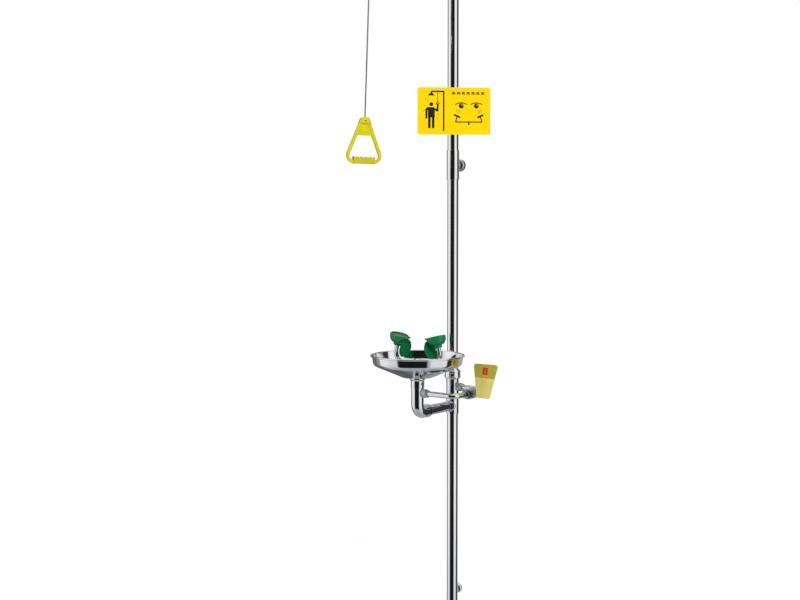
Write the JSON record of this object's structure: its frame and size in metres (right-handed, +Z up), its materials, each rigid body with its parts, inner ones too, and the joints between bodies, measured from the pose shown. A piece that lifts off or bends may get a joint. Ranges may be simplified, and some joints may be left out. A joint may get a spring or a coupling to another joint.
{
  "type": "emergency safety shower with eyewash",
  "caption": "Free-standing safety shower on a steel column: overhead shower worked by a pull rod, eyewash bowl with tilted spray heads under hinged covers, push paddle and sign.",
  "frame": {"origin": "on the floor at the column's axis", "axes": "+Z up, -Y towards the user (the shower arm and the bowl reach along -Y), +X to the side with the push paddle"},
  "size_m": [0.4155, 0.865, 2.3126],
  "materials": {
    "polished_steel": "polished stainless steel",
    "brushed_steel": "satin stainless steel",
    "green_plastic": "moulded, glossy",
    "cover_green": "moulded, ribbed",
    "bronze_face": "satin",
    "yellow_plastic": "moulded, glossy",
    "paddle_yellow": "powder coat",
    "sign_yellow": "printed, satin",
    "white_plastic": "PTFE",
    "black_rubber": "moulded"
  },
  "bodies": {
    "station": {"base_flange": "brushed_steel", "lower_column": "polished_steel", "drain_tee": "polished_steel", "column_spool": "polished_steel", "column_stop": "brushed_steel", "supply_tee": "polished_steel", "union_nut": "polished_steel", "mid_column": "polished_steel", "inlet_tee": "polished_steel", "upper_column": "polished_steel", "top_elbow": "polished_steel", "arm_rear": "polished_steel", "arm_front": "polished_steel", "drop_elbow": "polished_steel", "shower_head": "polished_steel", "plate_posts": "brushed_steel", "spray_plate": "polished_steel", "plate_screws": "brushed_steel", "shower_valve_body": "brushed_steel", "eyewash_valve_body": "brushed_steel", "valve_ends": "brushed_steel", "valve_seats": "white_plastic", "gland_nuts": "brushed_steel", "sign_plate": "sign_yellow", "sign_clamps": "brushed_steel", "sign_rivets": "sign_yellow", "clamp_bolts": "brushed_steel", "bowl": "polished_steel", "drain_flange": "polished_steel", "bowl_sleeve": "polished_steel", "seals": "black_rubber", "drain_pipe": "polished_steel", "drain_elbow": "polished_steel", "drain_arm": "polished_steel", "supply_riser": "polished_steel", "spray_manifold": "polished_steel", "spray_arms": "polished_steel", "spray_heads": "green_plastic", "spray_faces": "bronze_face", "hinge_pins": "brushed_steel", "supply_nuts": "brushed_steel", "supply_pipe_rear": "polished_steel", "supply_pipe_front": "polished_steel"},
    "shower_lever": {"shower_lever": "brushed_steel", "shower_stem": "brushed_steel", "shower_ball": "polished_steel", "lever_nut": "brushed_steel"},
    "pull_rod": {"pull_rod": "brushed_steel", "pull_handle": "yellow_plastic", "handle_grip": "yellow_plastic", "handle_pin": "brushed_steel"},
    "eyewash_paddle": {"paddle": "paddle_yellow", "paddle_lever": "brushed_steel", "paddle_screws": "brushed_steel", "eyewash_stem": "brushed_steel", "eyewash_ball": "polished_steel", "paddle_nut": "brushed_steel"},
    "cover_left": {"cover_left": "cover_green"},
    "cover_right": {"cover_right": "cover_green"}
  },
  "joints": [
    {"name": "shower_lever_turn", "type": "hinge", "parent": "station", "child": "shower_lever", "pos_m": [-0.0469, -0.23, 2.255], "axis": [1, 0, 0], "range_deg": [0, 90]},
    {"name": "pull_rod_swing", "type": "hinge", "parent": "shower_lever", "child": "pull_rod", "pos_m": [-0.0469, -0.40773, 2.30262], "axis": [1, 0, 0], "range_deg": [-90, 0]},
    {"name": "paddle_push", "type": "hinge", "parent": "station", "child": "eyewash_paddle", "pos_m": [0.18, -0.113, 0.836], "axis": [-1, 0, 0], "range_deg": [0, 90]},
    {"name": "cover_right_hinge", "type": "hinge", "parent": "station", "child": "cover_right", "pos_m": [0.03932, -0.203, 1.01738], "axis": [0, 1, 0], "range_deg": [0, 270]},
    {"name": "cover_left_hinge", "type": "hinge", "parent": "station", "child": "cover_left", "pos_m": [-0.03932, -0.203, 1.01738], "axis": [0, -1, 0], "range_deg": [0, 270]}
  ],
  "couplings": [
    {"joint": "pull_rod_swing", "follows": "shower_lever_turn", "ratio": -1}
  ]
}
